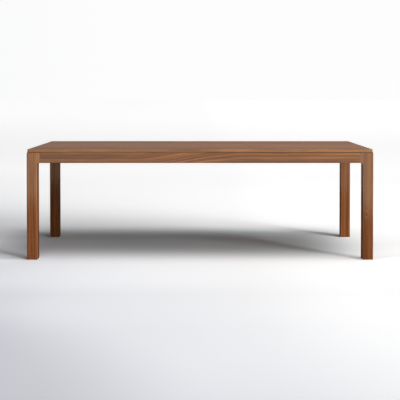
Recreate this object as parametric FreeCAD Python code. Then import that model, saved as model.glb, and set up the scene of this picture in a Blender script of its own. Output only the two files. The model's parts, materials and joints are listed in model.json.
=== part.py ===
import FreeCAD, Part
import math
import os

# Parsons dining table in solid wood, knock-down construction.
#
# A square-cornered table whose legs and aprons share one outer face.  The top is
# edge-glued from seven boards and stands 4 mm inside the leg and apron faces,
# with a soft round-over on its upper edge.  Every leg is cut from stock wide
# enough to keep a short ear towards each apron, so the inside corner is a cove
# and the joint line stands just past it.
#
# The aprons and legs meet on dry loose tenons.  A bent steel plate crosses each
# corner, is screwed to both aprons, and two hanger bolts with washers and nuts
# pull the leg into the corner.  Three cross rails are housed in the long aprons.
# Z-shaped clips in slots in the aprons, and screws through slotted holes in the
# rails, hold the top and let it move with the seasons.  A screw-in levelling foot
# is sunk in the end of each leg.
#
# Frame: millimetres, +Z up, -Y is the long front side, and the origin is on the
# floor below the middle of the table.

V = FreeCAD.Vector

# ---------------------------------------------------------------- dimensions
LENGTH = 2388.0          # over the leg faces, 94 in
DEPTH = 1016.0           # over the leg faces, 40 in
HEIGHT = 762.0           # floor to top surface, 30 in

TOP_T = 23.0             # top thickness
TOP_INSET = 4.0          # top's edge inside the leg and apron faces
TOP_CORNER_R = 10.0      # plan radius of the top's corners
TOP_ROUND_R = 4.0        # round-over on the upper edge
TOP_UNDER_R = 2.0        # eased lower edge
BOARD_W = [153.0, 134.0, 147.0, 139.0, 159.0, 131.0, 145.0]

LEG = 73.0               # square leg section
LEG_OUTER_R = 8.0        # outer vertical corner
LEG_EDGE_R = 3.0         # the other vertical edges
LEG_TOP_R = 2.0          # shoulder below the top
LEG_FOOT_R = 2.0         # eased bottom edge
EAR = 20.0               # ear from the leg body to the joint line
COVE_R = 18.0            # cove in the inside corner
LEG_CHAMFER = 20.0       # seat for the hanger bolts on the inner corner

APRON_T = 25.0
APRON_H = 72.0
APRON_UNDER_R = 3.0
JOINT_BEVEL = 0.4        # fine V at each leg and apron joint line

TENON_T = 10.0
TENON_H = 45.0
TENON_IN_LEG = 40.0
TENON_IN_APRON = 35.0
TENON_PLAY = 0.15

RAIL_W = 32.0
RAIL_H = 45.0
RAIL_HOUSING = 8.0
RAIL_X = [-560.0, 0.0, 560.0]
RAIL_SCREW_Y = [-290.0, 0.0, 290.0]

PLATE_T = 3.0
PLATE_H = 56.0
PLATE_GAP = 10.0         # from the leg's seat to the plate
PLATE_FLANGE = 41.0
BOLT_R = 4.0             # M8 hanger bolt
BOLT_IN_LEG = 45.0
BOLT_OUT = 35.0
BOLT_DZ = 28.0
WASHER_R, WASHER_T = 11.0, 2.0
NUT_AF, NUT_T = 13.0, 6.5

CLIP_T = 2.0
CLIP_W = 16.0
CLIP_SLOT_Z = 12.0       # from the apron's top edge down to the clip's lip
CLIP_X_LONG = [-1000.0, -780.0, -330.0, 330.0, 780.0, 1000.0]
CLIP_Y_SHORT = [-260.0, 260.0]

FOOT_PROUD = 1.0         # leg end above the floor with the foot screwed home
FOOT_POCKET_R, FOOT_POCKET_H = 16.0, 10.0
PAD_R, PAD_H = 14.0, 6.0
PAD_FLOOR = 2.0          # thickness under the stem
PAD_LIP = 1.6            # lip that keeps the stem in the pad
SWIVEL_R, NECK_R = 6.0, 4.2
KEY_AF, KEY_DEPTH = 4.0, 5.0
KEY_HOLE_R = 3.0         # hole in the pad for the key
INSERT_R, INSERT_L = 6.0, 16.0
FOOT_TRAVEL = 10.0       # eight turns of a 1.25 mm thread
STEM_R = 4.0
STEM_L = INSERT_L + 2 * FOOT_TRAVEL + 2.0    # still right through the insert with the foot run out

FIT = 0.05               # radial room round every fastener

# ------------------------------------------------------------ derived levels
Z_FRAME = HEIGHT - TOP_T                 # top of legs, aprons and rails
Z_APRON = Z_FRAME - APRON_H              # underside of the aprons
HX, HY = LENGTH / 2.0, DEPTH / 2.0
JOINT = LEG + EAR                        # joint line from the outer corner
PLATE_Z = Z_APRON + (APRON_H - PLATE_H) / 2.0
BOLT_Z = [Z_APRON + APRON_H / 2.0 - BOLT_DZ / 2.0,
          Z_APRON + APRON_H / 2.0 + BOLT_DZ / 2.0]
TENON_Z = Z_APRON + (APRON_H - TENON_H) / 2.0

OUT = "parts"
os.makedirs(OUT, exist_ok=True)


# ------------------------------------------------------------------- helpers
def box(x0, y0, z0, x1, y1, z1):
    return Part.makeBox(x1 - x0, y1 - y0, z1 - z0, V(x0, y0, z0))


def cyl(r, length, base, axis=V(0, 0, 1)):
    return Part.makeCylinder(r, length, base, axis)


def edges_where(shape, test):
    return [e for e in shape.Edges if test(e.BoundBox, e)]


def near(a, b, tol=0.01):
    return abs(a - b) < tol


def tidy(shape):
    """The one solid in a shape, facing outwards."""
    solids = shape.Solids
    if len(solids) != 1:
        raise RuntimeError("expected one solid, got %d" % len(solids))
    s = solids[0]
    if s.Volume < 0:
        s.reverse()
    if not s.isValid():
        s.fix(0.001, 0.001, 0.001)
    return s


def write(name, shapes):
    """One STEP file per node; identical fasteners share one as separate solids."""
    shapes = [tidy(s) for s in (shapes if isinstance(shapes, list) else [shapes])]
    for s in shapes:
        if not s.isValid() or s.Volume <= 0:
            raise RuntimeError(name + " isn't a valid solid")
    whole = shapes[0] if len(shapes) == 1 else Part.makeCompound(shapes)
    whole.exportStep(os.path.join(OUT, name + ".step"))
    print("%-28s %2d solid(s) %12.1f mm3" % (name, len(shapes), sum(s.Volume for s in shapes)))


def prism(points, z0, z1):
    """Upright prism over a polygon in the XY plane."""
    pts = [V(x, y, z0) for x, y in points]
    face = Part.Face(Part.makePolygon(pts + pts[:1]))
    return face.extrude(V(0, 0, z1 - z0))


def stadium(length, width, height, centre, along, up):
    """Slot-shaped solid: length over all, along a unit vector; height along up, from centre."""
    r = width / 2.0
    half = length / 2.0 - r
    a, b = centre - along * half, centre + along * half
    side = up.cross(along)
    face = Part.Face(Part.Wire([
        Part.LineSegment(a + side * r, b + side * r).toShape(),
        Part.Arc(b + side * r, b + along * r, b - side * r).toShape(),
        Part.LineSegment(b - side * r, a - side * r).toShape(),
        Part.Arc(a - side * r, a - along * r, a + side * r).toShape(),
    ]))
    return face.extrude(up * height)


def to_corner(shape, sx, sy):
    """From the corner frame, whose origin is a leg's outer corner with +X and +Y pointing inwards, to the table."""
    s = shape.copy()
    s.translate(V(-HX, -HY, 0))
    if sx > 0:
        s = s.mirror(V(0, 0, 0), V(1, 0, 0))
    if sy > 0:
        s = s.mirror(V(0, 0, 0), V(0, 1, 0))
    return tidy(s) if len(s.Solids) == 1 else s


CORNERS = {"front_left": (-1, -1), "front_right": (1, -1),
           "rear_left": (-1, 1), "rear_right": (1, 1)}


# ----------------------------------------------------------- loose tenons
def tenon(play=0.0):
    """Loose tenon between the leg and the apron that runs along X, in the corner frame."""
    length = TENON_IN_LEG + TENON_IN_APRON + 2 * play
    shape = stadium(TENON_H + 2 * play, TENON_T + 2 * play, length,
                    V(JOINT - TENON_IN_LEG - play, APRON_T / 2.0, TENON_Z + TENON_H / 2.0),
                    V(0, 0, 1), V(1, 0, 0))
    return shape


def swap_xy(shape):
    """The same thing for the apron that runs along Y."""
    return shape.mirror(V(0, 0, 0), V(1, -1, 0))


# ---------------------------------------------------------------------- legs
def bolt_axis_point(z):
    m = LEG - LEG_CHAMFER / 2.0
    return V(m, m, z)


DIAG = V(1, 1, 0).normalize()


def ear():
    """Ear towards the apron along X, with the cove below it."""
    x0, x1 = LEG - 5.0, JOINT
    c = V(LEG + COVE_R, 0, Z_APRON - COVE_R)
    p = [V(x0, 0, Z_APRON - COVE_R), V(LEG, 0, Z_APRON - COVE_R),
         V(LEG + COVE_R, 0, Z_APRON), V(x1, 0, Z_APRON), V(x1, 0, Z_FRAME), V(x0, 0, Z_FRAME)]
    mid = c + V(-COVE_R * math.cos(math.pi / 4), 0, COVE_R * math.sin(math.pi / 4))
    edges = [
        Part.LineSegment(p[0], p[1]).toShape(),
        Part.Arc(p[1], mid, p[2]).toShape(),
        Part.LineSegment(p[2], p[3]).toShape(),
        Part.LineSegment(p[3], p[4]).toShape(),
        Part.LineSegment(p[4], p[5]).toShape(),
        Part.LineSegment(p[5], p[0]).toShape(),
    ]
    return Part.Face(Part.Wire(edges)).extrude(V(0, APRON_T, 0))


def leg():
    body = box(0, 0, FOOT_PROUD, LEG, LEG, Z_FRAME)
    e1 = ear()
    shape = body.fuse([e1, swap_xy(e1)]).removeSplitter()
    shape = tidy(shape)

    def lower_chain(b, e):
        """Inner vertical edges, the coves' face edges and the ears' lower face edges."""
        if b.ZMax > Z_APRON + 0.01 or b.ZMax - b.ZMin < 0.01 and not near(b.ZMin, Z_APRON):
            return False
        on_front = near(b.YMin, 0) and near(b.YMax, 0) and b.XMin > LEG - 0.01
        on_side = near(b.XMin, 0) and near(b.XMax, 0) and b.YMin > LEG - 0.01
        return on_front or on_side

    shape = tidy(shape.makeFillet(LEG_EDGE_R, edges_where(shape, lower_chain)))

    back = edges_where(shape, lambda b, e: near(b.XMin, LEG) and near(b.XMax, LEG)
                       and near(b.YMin, LEG) and near(b.YMax, LEG))
    shape = tidy(shape.makeFillet(LEG_EDGE_R, back))

    upright = edges_where(shape, lambda b, e: b.XMax < 0.01 and b.YMax < 0.01)
    shape = tidy(shape.makeFillet(LEG_OUTER_R, upright))

    shoulder = edges_where(shape, lambda b, e: near(b.ZMin, Z_FRAME) and near(b.ZMax, Z_FRAME)
                           and (near(b.YMax, 0) or near(b.XMax, 0)
                                or (b.XMax < LEG_OUTER_R + 0.01 and b.YMax < LEG_OUTER_R + 0.01)))
    shape = tidy(shape.makeFillet(LEG_TOP_R, shoulder))

    foot = edges_where(shape, lambda b, e: near(b.ZMin, FOOT_PROUD) and near(b.ZMax, FOOT_PROUD))
    shape = tidy(shape.makeFillet(LEG_FOOT_R, foot))

    cuts = []
    # seat for the bolts across the inner corner
    m = LEG - LEG_CHAMFER
    cuts.append(prism([(LEG + 1, m - 1), (LEG + 1, LEG + 1), (m - 1, LEG + 1)],
                      Z_APRON - 4.0, Z_FRAME + 1))
    # mortises
    t = tenon(TENON_PLAY)
    cuts += [t, swap_xy(t)]
    # hanger bolt holes
    for z in BOLT_Z:
        p = bolt_axis_point(z)
        cuts.append(cyl(BOLT_R + FIT, BOLT_IN_LEG + 2.0 + 5.0, p - DIAG * (BOLT_IN_LEG + 2.0), DIAG))
    # levelling foot: pocket, insert and stem bore
    c = LEG / 2.0
    cuts.append(cyl(FOOT_POCKET_R, FOOT_POCKET_H + 1, V(c, c, FOOT_PROUD - 1)))
    z = FOOT_PROUD + FOOT_POCKET_H
    cuts.append(cyl(INSERT_R + FIT, INSERT_L + 1.0, V(c, c, z - 0.5)))
    cuts.append(cyl(STEM_R + 0.6, 30.0, V(c, c, z + INSERT_L)))
    # fine V on the face at each joint line
    for s in (prism([(JOINT - JOINT_BEVEL, -0.01), (JOINT + 0.01, -0.01), (JOINT + 0.01, JOINT_BEVEL)],
                    Z_APRON - 1, Z_FRAME + 1),):
        cuts += [s, swap_xy(s)]
    shape = shape.cut(cuts)
    return tidy(shape)


# -------------------------------------------------------------------- aprons
def clip_slot(u_centre, face, inward, along):
    """Slot for a clip's lip. face: point on the apron's inner face at the clip; inward points into the apron."""
    z0 = Z_FRAME - CLIP_SLOT_Z - CLIP_T - 1.5
    a = face - along * (CLIP_W / 2.0 + 6.0)
    b = face + along * (CLIP_W / 2.0 + 6.0) + inward * 10.0
    return box(min(a.x, b.x), min(a.y, b.y), z0, max(a.x, b.x), max(a.y, b.y), z0 + CLIP_T + 1.5)


def apron_blank(length, outward):
    """Apron lying along X from -length/2, outer face at y = 0 facing -Y, then rounded."""
    h = length / 2.0
    s = box(-h, 0, Z_APRON, h, APRON_T, Z_FRAME)
    top = edges_where(s, lambda b, e: near(b.YMax, 0) and near(b.ZMin, Z_FRAME) and b.XLength > 10)
    s = tidy(s.makeFillet(LEG_TOP_R, top))
    low = edges_where(s, lambda b, e: near(b.YMax, 0) and near(b.ZMax, Z_APRON) and b.XLength > 10)
    s = tidy(s.makeFillet(APRON_UNDER_R, low))
    inner = edges_where(s, lambda b, e: near(b.YMin, APRON_T) and near(b.ZMax, Z_APRON) and b.XLength > 10)
    s = tidy(s.makeFillet(1.0, inner))
    cuts = []
    for sx in (-1, 1):
        bevel = prism([(-h - 0.01, -0.01), (-h + JOINT_BEVEL, -0.01), (-h - 0.01, JOINT_BEVEL)],
                      Z_APRON - 1, Z_FRAME + 1)
        cuts.append(bevel if sx < 0 else bevel.mirror(V(0, 0, 0), V(1, 0, 0)))
        m = tenon(TENON_PLAY)
        m.translate(V(-h - JOINT, 0, 0))
        cuts.append(m if sx < 0 else m.mirror(V(0, 0, 0), V(1, 0, 0)))
        for z in BOLT_Z:
            p = V(-h - JOINT + plate_screw_u(), APRON_T, z)
            hole = cyl(SCREW_R + FIT, 17.5, p, V(0, -1, 0))
            cuts.append(hole if sx < 0 else hole.mirror(V(0, 0, 0), V(1, 0, 0)))
    return s, cuts


SCREW_R = 2.1            # 4 x 20 screws
SCREW_HEAD_R = 4.0


def plate_screw_u():
    """Distance of the plate's screws from the table's outer corner, along an apron."""
    c1 = 2 * LEG - LEG_CHAMFER + PLATE_GAP * math.sqrt(2)
    return c1 - APRON_T + PLATE_FLANGE * 0.55


def long_apron():
    s, cuts = apron_blank(LENGTH - 2 * JOINT, -1)
    for x in CLIP_X_LONG:
        cuts.append(clip_slot(x, V(x, APRON_T, 0), V(0, -1, 0), V(1, 0, 0)))
    for x in RAIL_X:
        cuts.append(box(x - RAIL_W / 2, APRON_T - RAIL_HOUSING, Z_FRAME - RAIL_H,
                        x + RAIL_W / 2, APRON_T + 1, Z_FRAME + 1))
    return tidy(s.cut(cuts))


def short_apron():
    s, cuts = apron_blank(DEPTH - 2 * JOINT, -1)
    for y in CLIP_Y_SHORT:
        cuts.append(clip_slot(y, V(y, APRON_T, 0), V(0, -1, 0), V(1, 0, 0)))
    return tidy(s.cut(cuts))


# ----------------------------------------------------------------- top clips
def clip():
    """Z clip on an apron whose inner face is y = 0, the space inside the frame being +Y, centred on x = 0."""
    z = Z_FRAME
    lip = z - CLIP_SLOT_Z
    pts = [(-8, lip - CLIP_T), (3, lip - CLIP_T), (3, z - CLIP_T), (26, z - CLIP_T), (26, z),
           (1, z), (1, lip), (-8, lip)]
    vs = [V(-CLIP_W / 2.0, y, zz) for y, zz in pts]
    s = Part.Face(Part.makePolygon(vs + vs[:1])).extrude(V(CLIP_W, 0, 0))
    bends = edges_where(s, lambda b, e: b.XLength > 10 and (
        (near(b.YMin, 3) and near(b.ZMin, lip - CLIP_T)) or (near(b.YMin, 1) and near(b.ZMin, z))))
    s = tidy(s.makeFillet(1.6, bends))
    ends = edges_where(s, lambda b, e: near(b.YMin, 26) and near(b.YMax, 26) and b.ZLength > 1)
    s = tidy(s.makeFillet(4.0, ends))
    return tidy(s.cut(cyl(SCREW_R + 0.2, 6, V(0, 15, z - 4))))


def pan_screw(p, axis, length, r=SCREW_R, head_r=SCREW_HEAD_R, head=2.4):
    """Pan head screw: head under p, shank along axis, pointed end, cross recess."""
    shank = cyl(r, length - 3.0, p, axis)
    tip = Part.makeCone(r, 0.4, 3.0, p + axis * (length - 3.0), axis)
    hd = cyl(head_r, head, p - axis * head, axis)
    rim = edges_where(hd, lambda b, e: len(e.Vertexes) == 1)
    rim = [e for e in rim if (e.CenterOfMass - (p - axis * head)).Length < 0.01]
    hd = tidy(hd.makeFillet(1.0, rim))
    side = V(0, 0, 1).cross(axis)
    side = side.normalize() if side.Length > 0.1 else V(1, 0, 0)
    other = axis.cross(side)
    s = hd.fuse([shank, tip]).removeSplitter()
    for a, b in ((side, other), (other, side)):
        q = p - axis * head
        pts = [q + a * 2.1 + b * 0.45, q - a * 2.1 + b * 0.45, q - a * 2.1 - b * 0.45, q + a * 2.1 - b * 0.45]
        pts = [t - axis * 0.1 for t in pts]
        s = s.cut(Part.Face(Part.makePolygon(pts + pts[:1])).extrude(axis * 1.4))
    return tidy(s)


# ------------------------------------------------------------- corner plates
def plate():
    t = PLATE_T
    c1 = 2 * LEG - LEG_CHAMFER + PLATE_GAP * math.sqrt(2)
    c2 = c1 + t * math.sqrt(2)
    a = APRON_T
    f = c1 - a + PLATE_FLANGE
    pts = [(f, a), (c1 - a, a), (a, c1 - a), (a, f), (a + t, f), (a + t, c2 - a - t), (c2 - a - t, a + t), (f, a + t)]
    s = prism(pts, PLATE_Z, PLATE_Z + PLATE_H)
    corners = {(round(x, 3), round(y, 3)): r for (x, y), r in
               ((pts[1], 5.0), (pts[2], 5.0), (pts[5], 2.0), (pts[6], 2.0))}
    for (x, y), r in corners.items():
        found = edges_where(s, lambda b, e: b.ZLength > 10 and near(b.XMin, x, 0.01) and near(b.YMin, y, 0.01))
        s = tidy(s.makeFillet(r, found))
    ends = edges_where(s, lambda b, e: b.ZLength < 0.01 and b.XLength < 3.1 and b.YLength < 3.1
                       and (near(b.XMin, f) or near(b.YMin, f)))
    s = tidy(s.makeFillet(6.0, ends))
    cuts = []
    for z in BOLT_Z:
        cuts.append(cyl(BOLT_R + 0.6, 30, bolt_axis_point(z), DIAG))
        u = plate_screw_u()
        cuts.append(cyl(SCREW_R + 0.2, 10, V(u, a - 2, z), V(0, 1, 0)))
        cuts.append(cyl(SCREW_R + 0.2, 10, V(a - 2, u, z), V(1, 0, 0)))
    return tidy(s.cut(cuts))


def hanger_bolt(z):
    p = bolt_axis_point(z)
    wood = cyl(BOLT_R, BOLT_IN_LEG - 6.0, p - DIAG * (BOLT_IN_LEG - 6.0), DIAG)
    tip = Part.makeCone(0.6, BOLT_R, 6.0, p - DIAG * BOLT_IN_LEG, DIAG)
    metric = cyl(BOLT_R, BOLT_OUT - 1.0, p, DIAG)
    end = Part.makeCone(BOLT_R, BOLT_R - 1.0, 1.0, p + DIAG * (BOLT_OUT - 1.0), DIAG)
    return tidy(wood.fuse([tip, metric, end]).removeSplitter())


def washer(z):
    p = bolt_axis_point(z) + DIAG * (PLATE_GAP + PLATE_T)
    return tidy(cyl(WASHER_R, WASHER_T, p, DIAG).cut(cyl(BOLT_R + 0.3, WASHER_T + 2, p - DIAG, DIAG)))


def hexagon(af, height, base, axis):
    """Hexagonal prism with its ends chamfered round, as a nut's are."""
    r = af / math.sqrt(3)
    side = V(0, 0, 1) if abs(axis.z) < 0.9 else V(1, 0, 0)
    other = axis.cross(side)
    pts = [base + side * (r * math.cos(math.radians(60 * i))) + other * (r * math.sin(math.radians(60 * i)))
           for i in range(6)]
    s = Part.Face(Part.makePolygon(pts + pts[:1])).extrude(axis * height)
    k = r - af / 2.0
    blank = Part.makeCone(r - k * 0.9, r + 0.01, k, base, axis).fuse([
        cyl(r + 0.01, height - 2 * k, base + axis * k, axis),
        Part.makeCone(r + 0.01, r - k * 0.9, k, base + axis * (height - k), axis)])
    return tidy(s.common(blank))


def nut(z):
    p = bolt_axis_point(z) + DIAG * (PLATE_GAP + PLATE_T + WASHER_T)
    return tidy(hexagon(NUT_AF, NUT_T, p, DIAG).cut(cyl(BOLT_R + FIT, NUT_T + 2, p - DIAG, DIAG)))


# --------------------------------------------------------------- cross rails
def rail():
    h = HY - APRON_T + RAIL_HOUSING
    s = box(-RAIL_W / 2, -h, Z_FRAME - RAIL_H, RAIL_W / 2, h, Z_FRAME)
    # the lower arrises are eased between the housings
    low = edges_where(s, lambda b, e: near(b.ZMax, Z_FRAME - RAIL_H) and b.YLength > 100)
    s = tidy(s.makeFillet(2.0, low))
    cuts = []
    for i, y in enumerate(RAIL_SCREW_Y):
        # counterbore, then a slot across the grain of the top, round at the middle screw
        cuts.append(cyl(7.0, 22.0, V(0, y, Z_FRAME - RAIL_H - 1)))
        z0 = Z_FRAME - RAIL_H + 15.0
        if y == 0:
            cuts.append(cyl(2.6, 40.0, V(0, y, z0)))
        else:
            cuts.append(stadium(11.0, 5.2, 40.0, V(0, y, z0), V(0, 1, 0), V(0, 0, 1)))
    return tidy(s.cut(cuts))


def rail_screw(x, y):
    z = Z_FRAME - RAIL_H + 21.0
    return pan_screw(V(x, y, z), V(0, 0, 1), 38.0, r=2.4, head_r=5.0, head=3.0)


# ---------------------------------------------------------- levelling feet
def foot_pad():
    """Pad that the stem swivels in: a socket under a lip, and a hole for the key, in the corner frame."""
    c = LEG / 2.0
    s = cyl(PAD_R, PAD_H, V(c, c, 0))
    s = tidy(s.makeFillet(1.5, [e for e in s.Edges if len(e.Vertexes) == 1 and near(e.BoundBox.ZMax, PAD_H)]))
    s = tidy(s.makeChamfer(0.8, [e for e in s.Edges if len(e.Vertexes) == 1 and near(e.BoundBox.ZMax, 0)]))
    socket = cyl(SWIVEL_R + FIT, PAD_H - PAD_LIP - PAD_FLOOR, V(c, c, PAD_FLOOR))
    mouth = cyl(NECK_R + FIT, PAD_H, V(c, c, PAD_FLOOR + 0.5))
    key = cyl(KEY_HOLE_R, PAD_H, V(c, c, -1))
    return tidy(s.cut([socket, mouth, key]))


def foot_stem():
    """Stem: disc held in the pad, hexagon for a spanner, threaded shank, and a socket for a key from below."""
    c = LEG / 2.0
    z = PAD_FLOOR + FIT
    disc_t = PAD_H - PAD_LIP - PAD_FLOOR - 2 * FIT
    disc = cyl(SWIVEL_R, disc_t, V(c, c, z))
    neck = cyl(NECK_R, PAD_H + 0.4 - z, V(c, c, z))
    hexa = hexagon(13.0, 3.8, V(c, c, PAD_H + 0.4), V(0, 0, 1))
    shank = cyl(STEM_R, STEM_L, V(c, c, 10.0))
    end = Part.makeCone(STEM_R, STEM_R - 1.0, 1.0, V(c, c, 10.0 + STEM_L), V(0, 0, 1))
    s = disc.fuse([neck, hexa, shank, end]).removeSplitter()
    r = KEY_AF / math.sqrt(3)
    key = prism([(c + r * math.cos(math.radians(60 * i)), c + r * math.sin(math.radians(60 * i)))
                 for i in range(6)], z - 1, z + KEY_DEPTH)
    return tidy(s.cut(key))


def insert():
    """Threaded insert, flush with the bottom of the pocket."""
    c = LEG / 2.0
    z = FOOT_PROUD + FOOT_POCKET_H
    s = cyl(INSERT_R, INSERT_L, V(c, c, z))
    s = tidy(s.makeChamfer(0.8, [e for e in s.Edges if len(e.Vertexes) == 1 and near(e.BoundBox.ZMax, z + INSERT_L)]))
    return tidy(s.cut(cyl(STEM_R + FIT, INSERT_L + 2, V(c, c, z - 1))))


# -------------------------------------------------------------------- the top
def top_boards(screws):
    x, y = HX - TOP_INSET, HY - TOP_INSET
    s = box(-x, -y, Z_FRAME, x, y, HEIGHT)
    s = tidy(s.makeFillet(TOP_CORNER_R, edges_where(s, lambda b, e: b.ZLength > 10)))
    s = tidy(s.makeFillet(TOP_ROUND_R, edges_where(s, lambda b, e: near(b.ZMin, HEIGHT) and near(b.ZMax, HEIGHT))))
    s = tidy(s.makeFillet(TOP_UNDER_R, edges_where(s, lambda b, e: near(b.ZMin, Z_FRAME) and near(b.ZMax, Z_FRAME))))
    boards, y0 = [], -y
    for w in BOARD_W:
        lo = y0 - (5 if not boards else 0)
        hi = y0 + w + (5 if len(boards) == len(BOARD_W) - 1 else 0)
        b = tidy(s.common(box(-x - 5, lo, Z_FRAME - 5, x + 5, hi, HEIGHT + 5)))
        cuts = [c for c in screws if c.BoundBox.YMin > lo - 1 and c.BoundBox.YMax < hi + 1]
        boards.append(tidy(b.cut(cuts)) if cuts else b)
        y0 += w
    return boards


# ------------------------------------------------------------------ assembly
def turned(shape, degrees):
    s = shape.copy()
    s.rotate(V(0, 0, 0), V(0, 0, 1), degrees)
    return s


def main():
    the_leg = leg()
    the_plate = plate()
    the_tenon = tenon()
    pad, stem, the_insert = foot_pad(), foot_stem(), insert()
    bolts, washers, nuts, plate_screws, tenons, inserts = [], [], [], [], [], []
    one_bolt = [(hanger_bolt(z), washer(z), nut(z)) for z in BOLT_Z]
    one_screw = []
    for z in BOLT_Z:
        s = pan_screw(V(plate_screw_u(), APRON_T + PLATE_T, z), V(0, -1, 0), 20.0)
        one_screw += [s, swap_xy(s)]
    for name, (sx, sy) in CORNERS.items():
        write("leg_" + name, to_corner(the_leg, sx, sy))
        write("corner_plate_" + name, to_corner(the_plate, sx, sy))
        write("foot_pad_" + name, to_corner(pad, sx, sy))
        write("foot_stem_" + name, to_corner(stem, sx, sy))
        inserts.append(to_corner(the_insert, sx, sy))
        for b, w, n in one_bolt:
            bolts.append(to_corner(b, sx, sy))
            washers.append(to_corner(w, sx, sy))
            nuts.append(to_corner(n, sx, sy))
        plate_screws += [to_corner(tidy(s), sx, sy) for s in one_screw]
        tenons += [to_corner(the_tenon, sx, sy), to_corner(tidy(swap_xy(the_tenon)), sx, sy)]
    write("hanger_bolts", bolts)
    write("hanger_bolt_washers", washers)
    write("hanger_bolt_nuts", nuts)
    write("corner_plate_screws", plate_screws)
    write("loose_tenons", tenons)
    write("foot_inserts", inserts)

    la = long_apron()
    la.translate(V(0, -HY, 0))
    write("apron_front", la)
    write("apron_rear", tidy(turned(la, 180)))
    sa = short_apron()
    sa.translate(V(0, -HX, 0))
    write("apron_left", tidy(turned(sa, -90)))
    write("apron_right", tidy(turned(sa, 90)))

    the_rail = rail()
    for name, x in zip(("left", "centre", "right"), RAIL_X):
        r = the_rail.copy()
        r.translate(V(x, 0, 0))
        write("cross_rail_" + name, tidy(r))

    clips, clip_screws, rail_screws, holes = [], [], [], []

    def place(shape, at, angle):
        s = turned(shape, angle)
        s.translate(at)
        return tidy(s)

    one_clip = clip()
    one_clip_screw = pan_screw(V(0, 15, Z_FRAME - CLIP_T), V(0, 0, 1), 18.0)
    one_hole = cyl(SCREW_R + FIT, 17.0, V(0, 15, Z_FRAME - 0.5))
    spots = [(V(x, -HY + APRON_T, 0), 0) for x in CLIP_X_LONG]
    spots += [(V(x, HY - APRON_T, 0), 180) for x in CLIP_X_LONG]
    spots += [(V(-HX + APRON_T, y, 0), -90) for y in CLIP_Y_SHORT]
    spots += [(V(HX - APRON_T, y, 0), 90) for y in CLIP_Y_SHORT]
    for at, angle in spots:
        clips.append(place(one_clip, at, angle))
        clip_screws.append(place(one_clip_screw, at, angle))
        holes.append(place(one_hole, at, angle))
    for x in RAIL_X:
        for y in RAIL_SCREW_Y:
            rail_screws.append(rail_screw(x, y))
            holes.append(cyl(2.4 + FIT, 15.0, V(x, y, Z_FRAME - 0.5)))
    write("top_clips", clips)
    write("top_clip_screws", clip_screws)
    write("cross_rail_screws", rail_screws)
    for i, b in enumerate(top_boards(holes), 1):
        write("top_board_%d" % i, b)


main()
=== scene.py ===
import json
import math
import bpy
from mathutils import Euler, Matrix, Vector

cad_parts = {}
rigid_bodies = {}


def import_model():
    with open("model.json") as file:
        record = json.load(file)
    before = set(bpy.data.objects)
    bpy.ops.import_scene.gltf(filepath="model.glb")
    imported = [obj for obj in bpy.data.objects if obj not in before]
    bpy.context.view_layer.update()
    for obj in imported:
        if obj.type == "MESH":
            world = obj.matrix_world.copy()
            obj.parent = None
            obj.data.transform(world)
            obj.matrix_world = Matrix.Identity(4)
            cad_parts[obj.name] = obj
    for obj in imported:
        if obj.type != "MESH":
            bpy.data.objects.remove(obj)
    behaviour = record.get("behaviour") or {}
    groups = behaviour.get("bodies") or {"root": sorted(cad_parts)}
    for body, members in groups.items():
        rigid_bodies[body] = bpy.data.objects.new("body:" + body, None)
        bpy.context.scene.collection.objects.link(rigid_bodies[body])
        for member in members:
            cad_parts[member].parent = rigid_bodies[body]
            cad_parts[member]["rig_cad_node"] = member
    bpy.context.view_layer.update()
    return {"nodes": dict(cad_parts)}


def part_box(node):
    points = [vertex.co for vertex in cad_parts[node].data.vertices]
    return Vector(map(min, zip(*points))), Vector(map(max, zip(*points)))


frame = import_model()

nodes = frame["nodes"]

# what Blender starts with
for o in list(bpy.data.objects):
    if o.type in {"MESH", "CAMERA", "LIGHT"} and "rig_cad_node" not in o:
        bpy.data.objects.remove(o, do_unlink=True)

scene = bpy.context.scene
scene.view_settings.view_transform = "Standard"
scene.view_settings.look = "None"
scene.view_settings.exposure = 0.0
scene.view_settings.gamma = 1.0

# ------------------------------------------------------------------- camera
LENS = 79.254
cam_data = bpy.data.cameras.new("camera")
cam_data.lens = LENS
cam_data.sensor_width = 36.0
cam_data.shift_x = 0.0
cam_data.shift_y = -0.2325
cam_data.clip_start, cam_data.clip_end = 0.05, 400.0
cam = bpy.data.objects.new("camera", cam_data)
cam.location = (0.0, -6.5581, 1.1586)
cam.rotation_euler = (math.radians(89.0), 0.0, 0.0)
scene.collection.objects.link(cam)
scene.camera = cam


# ------------------------------------------------------------ node shorthand
def srgb(r, g, b):
    def lin(v):
        v /= 255.0
        return v / 12.92 if v <= 0.04045 else ((v + 0.055) / 1.055) ** 2.4
    return (lin(r), lin(g), lin(b), 1.0)


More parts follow.
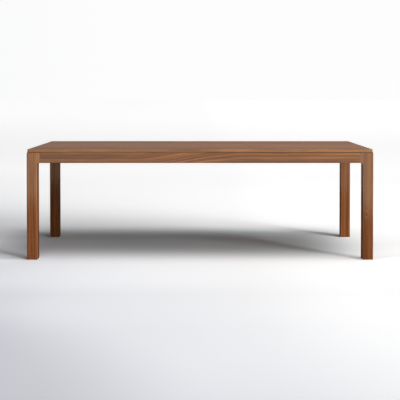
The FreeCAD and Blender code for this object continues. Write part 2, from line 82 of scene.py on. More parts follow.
class Tree:
    """Short ways to add nodes to a node tree."""

    def __init__(self, tree):
        self.t = tree

    def add(self, kind, **props):
        n = self.t.nodes.new(kind)
        for k, v in props.items():
            setattr(n, k, v)
        return n

    def put(self, socket, value):
        if isinstance(value, bpy.types.NodeSocket):
            self.t.links.new(value, socket)
        else:
            socket.default_value = value

    def math(self, op, a, b=None, c=None, clamp=False):
        n = self.add("ShaderNodeMath", operation=op, use_clamp=clamp)
        for i, v in enumerate((a, b, c)):
            if v is not None:
                self.put(n.inputs[i], v)
        return n.outputs[0]

    def vmath(self, op, a, b=None):
        n = self.add("ShaderNodeVectorMath", operation=op)
        self.put(n.inputs[0], a)
        if b is not None:
            self.put(n.inputs[1], b)
        return n.outputs["Value"] if op in {"LENGTH", "DOT_PRODUCT"} else n.outputs["Vector"]

    def noise(self, vector, detail=2.0, rough=0.5, scale=1.0):
        n = self.add("ShaderNodeTexNoise", noise_dimensions="3D")
        self.put(n.inputs["Vector"], vector)
        n.inputs["Scale"].default_value = scale
        n.inputs["Detail"].default_value = detail
        n.inputs["Roughness"].default_value = rough
        return n

    def noise1(self, w, detail=2.0, rough=0.5):
        n = self.add("ShaderNodeTexNoise", noise_dimensions="1D")
        self.put(n.inputs["W"], w)
        n.inputs["Scale"].default_value = 1.0
        n.inputs["Detail"].default_value = detail
        n.inputs["Roughness"].default_value = rough
        return n.outputs[0]

    def ramp(self, fac, stops, mode="LINEAR"):
        n = self.add("ShaderNodeValToRGB")
        n.color_ramp.interpolation = mode
        e = n.color_ramp.elements
        while len(e) < len(stops):
            e.new(0.5)
        for i, (p, c) in enumerate(stops):
            e[i].position = p
            e[i].color = c if len(c) == 4 else (*c, 1.0)
        self.put(n.inputs[0], fac)
        return n.outputs[0]

    def span(self, v, lo, hi, to_lo=0.0, to_hi=1.0, smooth=True):
        n = self.add("ShaderNodeMapRange", clamp=True)
        n.interpolation_type = "SMOOTHSTEP" if smooth else "LINEAR"
        self.put(n.inputs["Value"], v)
        for k, x in (("From Min", lo), ("From Max", hi), ("To Min", to_lo), ("To Max", to_hi)):
            self.put(n.inputs[k], x)
        return n.outputs[0]

    def mix(self, fac, a, b, mode="MIX"):
        n = self.add("ShaderNodeMix", data_type="RGBA", blend_type=mode)
        self.put(n.inputs[0], fac)
        self.put(n.inputs[6], a)
        self.put(n.inputs[7], b)
        return n.outputs[2]

    def group(self, group, **values):
        n = self.add("ShaderNodeGroup")
        n.node_tree = group
        for k, v in values.items():
            self.put(n.inputs[k.replace("_", " ")], v)
        return n


def new_group(name, ins, outs):
    g = bpy.data.node_groups.new(name, "ShaderNodeTree")
    for n, kind, default in ins:
        s = g.interface.new_socket(n, in_out="INPUT", socket_type=kind)
        if default is not None:
            s.default_value = default
    for n, kind in outs:
        g.interface.new_socket(n, in_out="OUTPUT", socket_type=kind)
    t = Tree(g)
    return g, t, t.add("NodeGroupInput").outputs, t.add("NodeGroupOutput").inputs


# --------------------------------------------------------------- wood figure
# The vector is (along the grain, across, across) in metres, from the piece's middle.
def wood_group():
    F, V3 = "NodeSocketFloat", "NodeSocketVector"
    g, t, i, o = new_group(
        "wood figure",
        [("Vector", V3, None), ("Seed", F, 0.0), ("Pith A", F, 0.05), ("Pith B", F, 0.09), ("Ring", F, 0.0046), ("Wander", F, 0.012), ("Contrast", F, 1.0),
         ("Crook", F, 0.0), ("Crook At", F, 0.0), ("Crook Length", F, 0.5), ("Knot", V3, None), ("Knotty", F, 0.0)],
        [("Tone", F), ("Grey", F), ("Fibre", F), ("Pore", F), ("Late", F)])
    comb = t.add("ShaderNodeCombineXYZ")
    t.put(comb.inputs[0], t.math("MULTIPLY", i["Seed"], 7.31))
    t.put(comb.inputs[1], t.math("MULTIPLY", i["Seed"], 13.7))
    t.put(comb.inputs[2], t.math("MULTIPLY", i["Seed"], 5.19))
    seed = comb.outputs[0]

    def at(scale, vector=None):
        return t.vmath("ADD", t.vmath("MULTIPLY", vector or i["Vector"], scale), seed)

    # slow wander of the trunk, then short waves
    slow = t.noise(at((1.5, 3.2, 3.2)), detail=2.0, rough=0.45).outputs["Color"]
    slow = t.vmath("MULTIPLY", t.vmath("SUBTRACT", slow, (0.5, 0.5, 0.5)), (0, 2.2, 2.2))
    amount = t.add("ShaderNodeCombineXYZ")
    for k in range(3):
        t.put(amount.inputs[k], i["Wander"])
    slow = t.vmath("MULTIPLY", slow, amount.outputs[0])
    short = t.noise(at((4.2, 20.0, 20.0)), detail=2.0).outputs["Color"]
    short = t.vmath("MULTIPLY", t.vmath("SUBTRACT", short, (0.5, 0.5, 0.5)), (0, 0.0042, 0.0042))
    p = t.vmath("ADD", t.vmath("ADD", i["Vector"], slow), short)
    # a crook in the trunk: the figure climbs by Crook over Crook Length
    along = t.add("ShaderNodeSeparateXYZ")
    t.put(along.inputs[0], i["Vector"])
    climb = t.span(t.math("DIVIDE", t.math("SUBTRACT", along.outputs[0], i["Crook At"]), i["Crook Length"]), -0.5, 0.5)
    shift = t.add("ShaderNodeCombineXYZ")
    t.put(shift.inputs[2], t.math("MULTIPLY", climb, i["Crook"]))
    p = t.vmath("SUBTRACT", p, shift.outputs[0])
    # the grain parts round a small knot
    off = t.vmath("SUBTRACT", i["Vector"], i["Knot"])
    near = t.vmath("LENGTH", t.vmath("MULTIPLY", t.vmath("ADD", off, t.vmath("MULTIPLY", short, (0, 1.3, 1.3))), (14.0, 48.0, 48.0)))
    part_round = t.add("ShaderNodeCombineXYZ")
    for k in (1, 2):
        t.put(part_round.inputs[k], t.math("MULTIPLY", t.math("MULTIPLY", t.span(near, 1.0, 0.0), 0.75), i["Knotty"]))
    p = t.vmath("SUBTRACT", p, t.vmath("MULTIPLY", off, part_round.outputs[0]))
    sep = t.add("ShaderNodeSeparateXYZ")
    t.put(sep.inputs[0], p)
    da = t.math("SUBTRACT", sep.outputs[1], i["Pith A"])
    db = t.math("SUBTRACT", sep.outputs[2], i["Pith B"])
    r = t.math("SQRT", t.math("ADD", t.math("MULTIPLY", da, da), t.math("MULTIPLY", db, db)))
    rings = t.math("DIVIDE", r, i["Ring"])
    rings = t.math("ADD", rings, t.math("MULTIPLY", i["Seed"], 3.7))
    # years differ in width
    rings = t.math("ADD", rings, t.math("MULTIPLY", t.noise1(t.math("MULTIPLY", rings, 0.21), 1.0), 2.6))
    part = t.math("FRACT", rings)
    late = t.math("MULTIPLY", t.span(part, 0.42, 0.93), t.span(part, 1.0, 0.955))
    year = t.noise1(t.math("MULTIPLY", rings, 0.33), 2.0, 0.6)
    era = t.noise1(t.math("ADD", t.math("MULTIPLY", rings, 0.085), 31.7), 1.0)

    streak = t.noise(at((0.9, 38.0, 38.0), p), detail=2.0).outputs[0]
    thin = t.noise(at((4.5, 135.0, 135.0), p), detail=2.0, rough=0.6).outputs[0]
    fibre = t.noise(at((14.0, 900.0, 900.0), p), detail=3.0, rough=0.65).outputs[0]
    pore = t.noise(at((75.0, 1900.0, 1900.0), p), detail=1.0).outputs[0]
    pore = t.math("MULTIPLY", t.span(pore, 0.60, 0.70), t.span(part, 0.75, 0.05, 0.45, 1.0))
    blotch = t.noise(at((1.4, 9.0, 9.0)), detail=2.0).outputs[0]

    def centred(v, k):
        return t.math("MULTIPLY", t.math("SUBTRACT", v, 0.5), k)

    tone = t.math("ADD", centred(year, 1.15), centred(era, 0.65))
    tone = t.math("ADD", tone, centred(streak, 0.55))
    tone = t.math("ADD", tone, centred(thin, 0.60))
    tone = t.math("ADD", tone, centred(blotch, 0.35))
    tone = t.math("SUBTRACT", tone, t.math("MULTIPLY", late, t.math("ADD", 0.10, t.math("MULTIPLY", year, 0.30))))
    tone = t.math("ADD", 0.51, t.math("MULTIPLY", t.math("ADD", tone, 0.05), i["Contrast"]))
    heart = t.math("SUBTRACT", t.math("MULTIPLY", t.math("MULTIPLY", t.span(near, 0.60, 0.34), t.span(near, 0.16, 0.30)), 0.17), t.math("MULTIPLY", t.span(near, 0.27, 0.10), 0.40))
    tone = t.math("ADD", tone, t.math("MULTIPLY", heart, i["Knotty"]))
    tone = t.math("ADD", tone, centred(fibre, 0.16))
    tone = t.math("SUBTRACT", tone, t.math("MULTIPLY", pore, 0.20), clamp=True)
    grey = t.noise(at((0.75, 15.0, 15.0), t.vmath("ADD", p, (3.1, 1.7, 0.4))), detail=2.0).outputs[0]
    t.put(o["Tone"], tone)
    t.put(o["Grey"], t.span(grey, 0.38, 0.70))
    t.put(o["Fibre"], fibre)
    t.put(o["Pore"], pore)
    t.put(o["Late"], late)
    return g


def edge_group():
    """1 on a box-shaped piece's edges, falling to 0 within Width of them."""
    F, V3 = "NodeSocketFloat", "NodeSocketVector"
    g, t, i, o = new_group("edge", [("Vector", V3, None), ("Half", V3, None), ("Width", F, 0.004)], [("Edge", F)])
    d = t.add("ShaderNodeSeparateXYZ")
    t.put(d.inputs[0], t.vmath("SUBTRACT", i["Half"], t.vmath("ABSOLUTE", i["Vector"])))
    a, b, c = d.outputs
    low, high = t.math("MINIMUM", a, b), t.math("MAXIMUM", a, b)
    middle = t.math("MAXIMUM", low, t.math("MINIMUM", high, c))
    t.put(o["Edge"], t.span(middle, i["Width"], 0.0))
    return g


WOOD, EDGE = wood_group(), edge_group()


def wood_material(name, node, grain, seed, pith, ramp, grey_tone, body=None, grey=0.5, rough=0.5, spec=0.05, bump=0.35,
                  gain=1.0, ring=0.0046, wander=0.012, edge_light=0.10, coat=0.8, coat_rough=0.12, contrast=1.0, crook=(0.0, 0.0, 0.5),
                  side=None, painted_reveal_shade=0.0, painted_height_light=None, knot=None):
    lo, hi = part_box(node)
    return wood_for_box(name, lo, hi, body or (lo, hi), grain, seed, pith, ramp, grey_tone, grey, rough, spec, bump, gain, ring, wander, edge_light,
                        coat, coat_rough, contrast, crook, side, painted_reveal_shade, painted_height_light, knot)


Z_REVEAL = min(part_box("top_board_1")[0].z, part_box("top_board_1")[1].z)  # underside of the top
TURN = {"X": Euler((0, 0, 0)), "Y": Euler((0, 0, math.radians(-90))), "Z": Euler((0, math.radians(90), 0))}


def wood_for_box(name, lo, hi, body, grain, seed, pith, ramp, grey_tone, grey, rough, spec, bump, gain, ring, wander, edge_light,
                 coat, coat_rough, contrast, crook, side, painted_reveal_shade, painted_height_light, knot):
    m = bpy.data.materials.new(name)
    m.use_nodes = True
    m.node_tree.nodes.clear()
    t = Tree(m.node_tree)
    centre, half = (lo + hi) / 2, (hi - lo) / 2
    turn = TURN[grain].to_matrix()
    tex = t.add("ShaderNodeTexCoord").outputs["Object"]
    mapping = t.add("ShaderNodeMapping", vector_type="POINT")
    mapping.inputs["Location"].default_value = -(turn @ centre)
    mapping.inputs["Rotation"].default_value = TURN[grain]
    t.put(mapping.inputs["Vector"], tex)
    local = mapping.outputs[0]
    # edge wear goes by the body of the piece, which for a leg leaves out its ears
    h = turn @ ((body[1] - body[0]) / 2)
    h = Vector((abs(h.x), abs(h.y), abs(h.z)))
    from_body = t.vmath("ADD", local, tuple(turn @ (centre - (body[0] + body[1]) / 2)))
    w = t.group(WOOD, Vector=local, Seed=seed, Pith_A=pith[0], Pith_B=pith[1], Ring=ring, Wander=wander, Contrast=contrast,
                Crook=crook[0], Crook_At=crook[1], Crook_Length=crook[2])
    if knot:
        w.inputs["Knot"].default_value = turn @ (Vector(knot) - centre)
        w.inputs["Knotty"].default_value = 1.0
    e = t.group(EDGE, Vector=from_body, Half=h, Width=0.0045)
    colour = t.ramp(w.outputs["Tone"], ramp, "B_SPLINE")
    colour = t.mix(t.math("MULTIPLY", w.outputs["Grey"], grey), colour, grey_tone, "MIX")
    # end grain is darker
    way = turn.transposed() @ Vector((1.0, 0.0, 0.0))
    normal = t.add("ShaderNodeTexCoord").outputs["Normal"]
    facing = t.math("ABSOLUTE", t.vmath("DOT_PRODUCT", normal, tuple(way)))
    end = t.span(facing, 0.55, 0.95)
    colour = t.mix(t.math("MULTIPLY", end, 0.30), colour, (0.05, 0.022, 0.010, 1.0))
    wear = t.math("MULTIPLY", e.outputs[0], t.math("ADD", 0.45, w.outputs["Fibre"]))
    colour = t.mix(t.math("MULTIPLY", wear, edge_light), colour, (0.42, 0.23, 0.12, 1.0))
    hsv = t.add("ShaderNodeHueSaturation")
    hsv.inputs["Value"].default_value = gain
    t.put(hsv.inputs["Color"], colour)
    value = gain
    along = t.add("ShaderNodeSeparateXYZ")
    t.put(along.inputs[0], tex)
    # painted light and shade: a leg's colour is scaled along its height, between two given factors at 8 cm and 52 cm
    # up; the rear left leg is made much darker at the foot and lighter at the top
    if painted_height_light:
        value = t.span(along.outputs[2], 0.08, 0.52, gain * painted_height_light[0], gain * painted_height_light[1], smooth=False)
    # the narrow faces of a board are cut across the rings: lighter, and they take more lacquer
    if side:
        narrow = t.span(t.math("ABSOLUTE", t.vmath("DOT_PRODUCT", normal, (0.0, 1.0, 0.0))), 0.75, 1.0)
        value = t.span(narrow, 0.0, 1.0, gain, gain * side[0], smooth=False)
        run = t.noise1(t.math("MULTIPLY", along.outputs[0], 5.0), 2.0, 0.6)
        value = t.math("MULTIPLY", value, t.math("ADD", 1.0, t.math("MULTIPLY", t.math("MULTIPLY", t.math("SUBTRACT", run, 0.5), narrow), 0.55)))
        t.put(hsv.inputs["Color"], t.mix(narrow, colour, t.mix(1.0, colour, (0.97, 1.02, 0.90, 1.0), "MULTIPLY")))
    # painted shade: a dark line within a few millimetres of the top's underside, in the reveal between the top and the
    # frame, where shade falls
    if painted_reveal_shade:
        painted_gap_shade = t.span(t.math("ABSOLUTE", t.math("SUBTRACT", along.outputs[2], Z_REVEAL)), 0.0040, 0.0008)
        upright = t.span(t.math("ABSOLUTE", t.vmath("DOT_PRODUCT", normal, (0.0, 0.0, 1.0))), 0.98, 0.75)
        if side:
            painted_gap_shade = t.math("MULTIPLY", painted_gap_shade, upright)
        value = t.math("MULTIPLY", value, t.math("SUBTRACT", 1.0, t.math("MULTIPLY", painted_gap_shade, painted_reveal_shade)))
    if not isinstance(value, float):
        t.put(hsv.inputs["Value"], value)
    b = t.add("ShaderNodeBsdfPrincipled")
    t.put(b.inputs["Base Color"], hsv.outputs[0])
    r = t.math("ADD", rough, t.math("MULTIPLY", t.math("SUBTRACT", w.outputs["Fibre"], 0.5), 0.16))
    r = t.math("ADD", r, t.math("MULTIPLY", w.outputs["Pore"], 0.14))
    r = t.math("SUBTRACT", r, t.math("MULTIPLY", w.outputs["Late"], 0.04))
    r = t.math("SUBTRACT", r, t.math("MULTIPLY", e.outputs[0], 0.05), clamp=True)
    t.put(b.inputs["Roughness"], r)
    b.inputs["Specular IOR Level"].default_value = spec
    if side:
        t.put(b.inputs["Coat Weight"], t.span(narrow, 0.0, 1.0, coat, side[1], smooth=False))
    else:
        b.inputs["Coat Weight"].default_value = coat
    b.inputs["Coat Roughness"].default_value = coat_rough
    b.inputs["Coat IOR"].default_value = 1.5
    height = t.math("SUBTRACT", t.math("MULTIPLY", w.outputs["Fibre"], 0.5), t.math("MULTIPLY", w.outputs["Pore"], 1.0))
    bn = t.add("ShaderNodeBump")
    bn.inputs["Strength"].default_value = bump
    bn.inputs["Distance"].default_value = 0.0002
    t.put(bn.inputs["Height"], height)
    t.put(b.inputs["Normal"], bn.outputs[0])
    out = t.add("ShaderNodeOutputMaterial")
    t.put(out.inputs["Surface"], b.outputs[0])
    return m


def give(node, material):
    o = nodes[node]
    o.data.materials.clear()
    o.data.materials.append(material)
    for p in o.data.polygons:
        p.material_index = 0


# finished walnut: dark summer lines, brown body, gold lights
WALNUT = [(0.0, srgb(60, 31, 15)), (0.30, srgb(99, 55, 28)), (0.55, srgb(130, 77, 42)), (0.78, srgb(158, 101, 56)), (1.0, srgb(188, 130, 76))]
WALNUT_GREY = srgb(99, 61, 35)
RAW = [(0.0, srgb(84, 58, 42)), (0.35, srgb(118, 84, 62)), (0.65, srgb(146, 108, 82)), (1.0, srgb(176, 138, 108))]
RAW_GREY = srgb(124, 100, 84)
BEECH = [(0.0, srgb(168, 126, 90)), (0.4, srgb(196, 156, 116)), (0.7, srgb(212, 176, 136)), (1.0, srgb(226, 194, 156))]

PITHS = [(0.030, -0.090), (-0.055, -0.075), (0.010, -0.110), (-0.020, -0.080), (0.060, -0.095), (-0.015, -0.070), (0.045, -0.100)]
for k in range(7):
    n = "top_board_%d" % (k + 1)
    give(n, wood_material(n + "_wood", n, "X", (98.9, 4.0, 6.3, 8.6, 10.9, 13.2, 15.5)[k], PITHS[k], WALNUT, WALNUT_GREY, gain=(0.86, 0.94, 0.99, 1.05, 1.0, 1.06, 1.03)[k], coat=0.55, coat_rough=0.2, contrast=0.88,
                          side=(1.62, 0.85), painted_reveal_shade=0.45))

for n, pith, seed, crook in (("apron_front", (-0.035, 0.060), 72.3, (0.10, -0.09, 0.8)), ("apron_rear", (-0.045, -0.042), 9.0, (-0.06, 0.4, 0.7))):
    give(n, wood_material(n + "_wood", n, "X", seed, pith, WALNUT, WALNUT_GREY, ring=0.0045, wander=0.020, contrast=0.80, grey=0.4, gain=1.04, crook=crook, coat=0.70, edge_light=0.06, painted_reveal_shade=0.55))
for k, (n, pith, seed) in enumerate((("apron_left", (-0.060, 0.020), 14.2), ("apron_right", (0.065, -0.010), 19.6))):
    give(n, wood_material(n + "_wood", n, "Y", seed, pith, WALNUT, WALNUT_GREY, ring=0.0032, contrast=0.8, grey=0.4, edge_light=0.06, painted_reveal_shade=0.55))
# each leg's gain is partly its own tone and partly painted light, evening out how much light reaches each leg
for n, pith, seed, gain, coat, contrast, painted_height_light in (
        ("leg_front_left", (-0.056, 0.018), 52.3, 1.24, 0.80, 0.60, (1.02, 1.0)), ("leg_front_right", (-0.09, 0.07), 159.4, 1.04, 0.90, 0.60, (0.97, 1.0)),
        ("leg_rear_left", (0.08, -0.08), 31.1, 1.00, 0.32, 0.45, (0.78, 1.26)), ("leg_rear_right", (-0.07, -0.09), 36.5, 1.42, 0.52, 0.55, (1.0, 0.98))):
    lo, hi = (Vector(v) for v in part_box(n))
    ear = 0.020
    if "left" in n:
        hi.x -= ear
    else:
        lo.x += ear
    if "front" in n:
        hi.y -= ear
    else:
        lo.y += ear
    give(n, wood_material(n + "_wood", n, "Z", seed, pith, WALNUT, WALNUT_GREY, body=(lo, hi), gain=gain, coat=coat, ring=0.0034, contrast=contrast, painted_reveal_shade=0.55, painted_height_light=painted_height_light,
                          knot=(1.1470, -0.508, 0.314) if n == "leg_front_right" else None))
for k, n in enumerate(("cross_rail_left", "cross_rail_centre", "cross_rail_right")):
    give(n, wood_material(n + "_wood", n, "Y", 41.2 + 3.1 * k, (0.05, -0.07 - 0.02 * k), RAW, RAW_GREY, rough=0.7, spec=0.25, edge_light=0.05))
give("loose_tenons", wood_material("loose_tenons_wood", "loose_tenons", "X", 55.0, (0.4, 0.9), BEECH, srgb(190, 158, 126), rough=0.7, spec=0.2, edge_light=0.0))


# -------------------------------------------------------------------- metals
def metal_material(name, colour, dark, rough, metallic=1.0, scale=120.0, brushed=(1, 1, 1), stain=None):
    m = bpy.data.materials.new(name)
    m.use_nodes = True
    m.node_tree.nodes.clear()
    t = Tree(m.node_tree)
    tex = t.add("ShaderNodeTexCoord").outputs["Object"]
    p = t.vmath("MULTIPLY", tex, tuple(scale * v for v in brushed))
    cloud = t.noise(p, detail=3.0, rough=0.6).outputs[0]
    fine = t.noise(t.vmath("MULTIPLY", tex, (scale * 22, scale * 22, scale * 22)), detail=2.0, rough=0.6).outputs[0]
    scratch = t.noise(t.vmath("MULTIPLY", tex, (scale * 60, scale * 4, scale * 30)), detail=1.0).outputs[0]
    c = t.mix(t.span(cloud, 0.3, 0.7), colour, dark)
    c = t.mix(t.math("MULTIPLY", t.span(scratch, 0.62, 0.72), 0.35), c, (0.75, 0.75, 0.74, 1.0) if metallic > 0.5 else (0.12, 0.12, 0.12, 1.0))
    if stain:
        c = t.mix(t.math("MULTIPLY", t.span(t.noise(t.vmath("MULTIPLY", tex, (38, 38, 38)), detail=2.0).outputs[0], 0.5, 0.75), 0.4), c, stain)
    b = t.add("ShaderNodeBsdfPrincipled")
    t.put(b.inputs["Base Color"], c)
    b.inputs["Metallic"].default_value = metallic
    r = t.math("ADD", rough, t.math("MULTIPLY", t.math("SUBTRACT", cloud, 0.5), 0.25))
    r = t.math("ADD", r, t.math("MULTIPLY", t.math("SUBTRACT", fine, 0.5), 0.12), clamp=True)
    t.put(b.inputs["Roughness"], r)
    bn = t.add("ShaderNodeBump")
    bn.inputs["Strength"].default_value = 0.25
    bn.inputs["Distance"].default_value = 0.0001
    t.put(bn.inputs["Height"], t.math("ADD", fine, t.math("MULTIPLY", scratch, 0.4)))
    t.put(b.inputs["Normal"], bn.outputs[0])
    out = t.add("ShaderNodeOutputMaterial")
    t.put(out.inputs["Surface"], b.outputs[0])
    return m


ZINC = metal_material("zinc_plate", (0.52, 0.53, 0.54, 1), (0.34, 0.35, 0.37, 1), 0.42)
PLATE = metal_material("plate_steel", (0.46, 0.47, 0.49, 1), (0.30, 0.31, 0.33, 1), 0.48, scale=60.0, stain=(0.40, 0.38, 0.30, 1))
BRASS = metal_material("brass", (0.66, 0.47, 0.18, 1), (0.44, 0.29, 0.10, 1), 0.38)
NYLON = metal_material("nylon", (0.028, 0.028, 0.029, 1), (0.018, 0.018, 0.018, 1), 0.55, metallic=0.0, scale=160.0)
for c in ("front_left", "front_right", "rear_left", "rear_right"):
    give("corner_plate_" + c, PLATE)
    give("foot_pad_" + c, NYLON)
    give("foot_stem_" + c, ZINC)
for n in ("hanger_bolts", "hanger_bolt_washers", "hanger_bolt_nuts", "corner_plate_screws", "top_clips", "top_clip_screws", "cross_rail_screws"):
    give(n, ZINC)
give("foot_inserts", BRASS)

# --------------------------------------------------------------------- floor
floor_mesh = bpy.data.meshes.new("floor")
S = 120.0
floor_mesh.from_pydata([(-S, -S, 0), (S, -S, 0), (S, S, 0), (-S, S, 0)], [], [(0, 1, 2, 3)])
floor = bpy.data.objects.new("floor", floor_mesh)
scene.collection.objects.link(floor)
fm = bpy.data.materials.new("floor")
fm.use_nodes = True
fm.node_tree.nodes.clear()
t = Tree(fm.node_tree)
place = t.add("ShaderNodeSeparateXYZ")
t.put(place.inputs[0], t.add("ShaderNodeTexCoord").outputs["Object"])
# pale matt floor whose colour is painted with light and shade along its depth: darkest just in front of and under the
# table, lighter far in front and towards the back
body = t.ramp(t.span(place.outputs[1], -4.0, 1.2, smooth=False), [
    (0.0, (0.95, 0.95, 0.95, 1)), (0.154, (0.93, 0.93, 0.93, 1)), (0.327, (0.79, 0.79, 0.79, 1)), (0.48, (0.69, 0.69, 0.69, 1)),
    (0.615, (0.69, 0.69, 0.69, 1)), (0.79, (0.72, 0.72, 0.72, 1)), (0.923, (0.87, 0.87, 0.87, 1)), (1.0, (0.88, 0.88, 0.88, 1))])
# painted shade: the floor is tinted cooler towards the near left, where it is darker
painted_cool_shade = t.span(t.math("ADD", place.outputs[0], t.math("MULTIPLY", place.outputs[1], 0.45)), 0.0, -2.2, smooth=False)
body = t.mix(painted_cool_shade, body, t.mix(1.0, body, (0.968, 0.99, 1.055, 1), "MULTIPLY"))
# painted light: the light falls off towards the near left corner and stays up on the right
corner = t.vmath("LENGTH", t.vmath("ADD", t.add("ShaderNodeTexCoord").outputs["Object"], (1.6, 3.4, 0.0)))
fall = t.math("MULTIPLY", t.span(corner, 0.95, 1.7, 0.81, 1.0), t.span(place.outputs[0], 0.2, 1.0, 1.02, 1.12))
# painted shade: a shallow darker band across the floor in front of the table, mostly on the left
painted_shade_band = t.math("MULTIPLY", t.span(place.outputs[1], -1.15, -1.65), t.span(place.outputs[1], -3.0, -2.2))
painted_shade_band = t.math("MULTIPLY", painted_shade_band, t.math("ADD", t.span(place.outputs[0], 0.7, -0.3, 0.0, 0.055), t.span(place.outputs[0], -0.8, -1.1, 0.0, 0.035)))
fall = t.math("MULTIPLY", fall, t.math("SUBTRACT", 1.0, painted_shade_band))
# painted light: beside the left legs the floor is a little lighter
painted_lift = t.math("MULTIPLY", t.span(place.outputs[0], -1.15, -1.35), t.math("MULTIPLY", t.span(place.outputs[1], -0.70, -0.50), t.span(place.outputs[1], 1.0, 0.4)))
fall = t.math("MULTIPLY", fall, t.math("ADD", 1.0, t.math("MULTIPLY", painted_lift, 0.13)))
body = t.vmath("MULTIPLY", body, fall)
# painted shade under the table: the floor is darker there and tinted cooler, against the warm light the wood throws on
# it
under = t.math("MULTIPLY", t.span(t.math("ABSOLUTE", t.math("SUBTRACT", place.outputs[0], 0.1)), 1.35, 0.6), t.span(t.math("ABSOLUTE", t.math("SUBTRACT", place.outputs[1], 0.28)), 0.75, 0.35))
body = t.mix(under, body, t.mix(1.0, body, (0.870, 0.920, 0.940, 1), "MULTIPLY"))
fb = t.add("ShaderNodeBsdfDiffuse")
t.put(fb.inputs["Color"], body)
# painted light: the floor glows, so that for the camera it melts into the backdrop on every side; only at the back does
# its glow light the table
path = t.add("ShaderNodeLightPath")
beside = t.math("MULTIPLY", t.math("SUBTRACT", t.math("ABSOLUTE", place.outputs[0]), 1.9), 2.6)
before = t.math("MULTIPLY", t.math("SUBTRACT", -5.5, place.outputs[1]), 2.0)
around = t.math("MAXIMUM", place.outputs[1], t.math("MAXIMUM", beside, before))
around = t.math("ADD", place.outputs[1], t.math("MULTIPLY", t.math("SUBTRACT", around, place.outputs[1]), path.outputs["Is Camera Ray"]))
glow = t.ramp(t.span(around, 0.8, 30.8, smooth=False), [
    (0.0, (0.0, 0.0, 0.0, 1)), (0.0133, (0.08, 0.08, 0.08, 1)), (0.051, (0.31, 0.31, 0.31, 1)), (0.067, (0.39, 0.39, 0.39, 1)),
    (0.10, (0.51, 0.51, 0.51, 1)), (0.19, (0.69, 0.69, 0.69, 1)), (0.67, (0.785, 0.785, 0.785, 1)), (1.0, (0.80, 0.80, 0.80, 1))])
glow = t.vmath("MULTIPLY", glow, t.span(place.outputs[0], -6.0, 3.0, t.span(place.outputs[1], 8.0, 40.0, 0.92, 0.970), 1.0, smooth=False))
fe = t.add("ShaderNodeEmission")
t.put(fe.inputs["Color"], glow)
both = t.add("ShaderNodeAddShader")
t.put(both.inputs[0], fb.outputs[0])
t.put(both.inputs[1], fe.outputs[0])
# painted reflection: for reflections the floor glows dark near the table and as a pale studio further off, and the
# lacquer mirrors that
away = t.vmath("LENGTH", t.vmath("MULTIPLY", t.vmath("ADD", t.add("ShaderNodeTexCoord").outputs["Object"], (0.9, 0.0, 0.0)), (1.0, 1.0, 0.0)))
far = t.span(away, 3.1, 4.9)
MIRROR = 2.0
BACK = 0.17
side = t.span(t.math("DIVIDE", place.outputs[1], away), -1.0, 1.0, MIRROR, MIRROR * 0.05)
fg = t.add("ShaderNodeEmission")
t.put(fg.inputs["Color"], t.mix(far, (0.012, 0.012, 0.012, 1), (1.0, 0.97, 0.76, 1)))
t.put(fg.inputs["Strength"], side)
pick = t.add("ShaderNodeMixShader")
t.put(pick.inputs[0], path.outputs["Is Glossy Ray"])
t.put(pick.inputs[1], both.outputs[0])
t.put(pick.inputs[2], fg.outputs[0])
fo = t.add("ShaderNodeOutputMaterial")
t.put(fo.inputs["Surface"], pick.outputs[0])
if hasattr(fm, "cycles"):
    fm.cycles.emission_sampling = "NONE"
floor_mesh.materials.append(fm)

# --------------------------------------------------------------------- light
AIM = Vector((0.0, 0.0, 0.35))


def lamp(name, azimuth, elevation, distance, spread, weight):
    """A round softbox aimed at the table; azimuth 0 is the front, 90 the right, spread its width seen from AIM.
    Weight is the light it gives there on a plate that faces it."""
    a, e = math.radians(azimuth), math.radians(elevation)
    way = Vector((math.sin(a) * math.cos(e), -math.cos(a) * math.cos(e), math.sin(e)))
    if distance is None:
        d = bpy.data.lights.new(name, "SUN")
        d.energy = weight
        d.angle = math.radians(spread)
    else:
        d = bpy.data.lights.new(name, "AREA")
        d.shape = "DISK"
        d.size = 2.0 * distance * math.tan(math.radians(spread / 2))
        d.energy = weight * math.pi * distance ** 2
    o = bpy.data.objects.new(name, d)
    o.location = AIM + way * (distance or 20.0)
    o.rotation_euler = way.to_track_quat("Z", "Y").to_euler()
    scene.collection.objects.link(o)
    return o


E = 4.33
# directions and widths are those that cast the shadow seen under the table
lamp("left", -27.0, 47.4, 2.6, 25.5, 0.200 * E)
lamp("right_near", 66.3, 54.3, 3.6, 25.0, 0.163 * E)
lamp("right_low", 69.4, 45.6, 5.0, 32.2, 0.131 * E)
lamp("right", 90.0, 64.3, 5.0, 35.9, 0.162 * E)
lamp("key", 32.1, 69.0, 5.0, 38.0, 0.353 * E)
lamp("low", 47.6, 19.5, None, 17.5, 0.305 * E).visible_glossy = False
lamp("rim", 42.9, 30.9, None, 5.8, 0.058 * E).visible_glossy = False
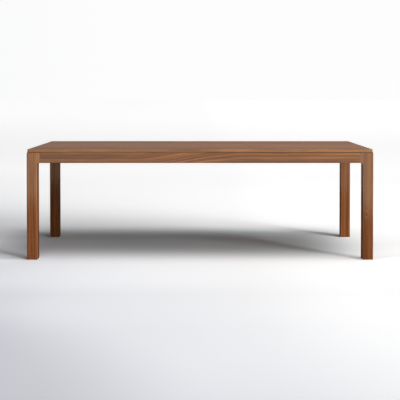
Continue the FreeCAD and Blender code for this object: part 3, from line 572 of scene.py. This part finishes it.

# The camera sees near-white, with painted shade making it a little greyer towards the left; matt surfaces get a weak
# fill, and the lacquer mirrors a pale studio that ends a little below the horizon and is dimmer behind the table.
world = bpy.data.worlds.new("studio")
scene.world = world
world.use_nodes = True
world.node_tree.nodes.clear()
if hasattr(world, "cycles"):
    world.cycles.sampling_method = "NONE"
t = Tree(world.node_tree)
d = t.add("ShaderNodeSeparateXYZ")
t.put(d.inputs[0], t.add("ShaderNodeTexCoord").outputs["Generated"])
band = t.ramp(t.span(d.outputs[2], 0.0, 0.6, smooth=False), [
    (0.0, (1.0, 0.97, 0.76, 1)), (0.10, (1.0, 0.97, 0.76, 1)), (0.35, (0.55, 0.54, 0.48, 1)), (1.0, (0.25, 0.25, 0.23, 1))])
depth = t.span(d.outputs[1], -1.0, 1.0, MIRROR, MIRROR * BACK)
# warm in front of the table, cooler behind it
band = t.mix(t.span(d.outputs[1], -0.3, 0.7), band, t.mix(1.0, band, (0.98, 0.99, 1.13, 1), "MULTIPLY"))
# in front it is bright only near the horizon
front = t.math("MULTIPLY", t.span(d.outputs[1], 0.1, -0.3), t.span(d.outputs[2], 0.01, 0.09))
band = t.mix(front, band, t.mix(1.0, band, (0.34, 0.35, 0.40, 1), "MULTIPLY"))
mirrored = t.add("ShaderNodeBackground")
t.put(mirrored.inputs["Color"], band)
t.put(mirrored.inputs["Strength"], depth)
fill = t.add("ShaderNodeBackground")
low = t.math("MULTIPLY", t.span(d.outputs[2], -0.01, 0.02), t.span(d.outputs[2], 0.20, 0.11))
backdrop = t.math("MULTIPLY", t.span(d.outputs[1], 0.30, 0.75), low)
t.put(fill.inputs["Color"], t.mix(backdrop, (0.012, 0.012, 0.012, 1), (2.6, 2.6, 2.6, 1)))
# painted shade: what the camera sees is a little greyer towards the left
seen = t.add("ShaderNodeBackground")
t.put(seen.inputs["Color"], t.ramp(t.span(d.outputs[0], -0.24, -0.06, smooth=False), [(0.0, (0.955, 0.957, 0.962, 1)), (1.0, (0.982, 0.982, 0.982, 1))]))
path = t.add("ShaderNodeLightPath")
m1, m2 = t.add("ShaderNodeMixShader"), t.add("ShaderNodeMixShader")
t.put(m1.inputs[0], path.outputs["Is Glossy Ray"])
t.put(m1.inputs[1], fill.outputs[0])
t.put(m1.inputs[2], mirrored.outputs[0])
t.put(m2.inputs[0], path.outputs["Is Camera Ray"])
t.put(m2.inputs[1], m1.outputs[0])
t.put(m2.inputs[2], seen.outputs[0])
wo = t.add("ShaderNodeOutputWorld")
t.put(wo.inputs["Surface"], m2.outputs[0])
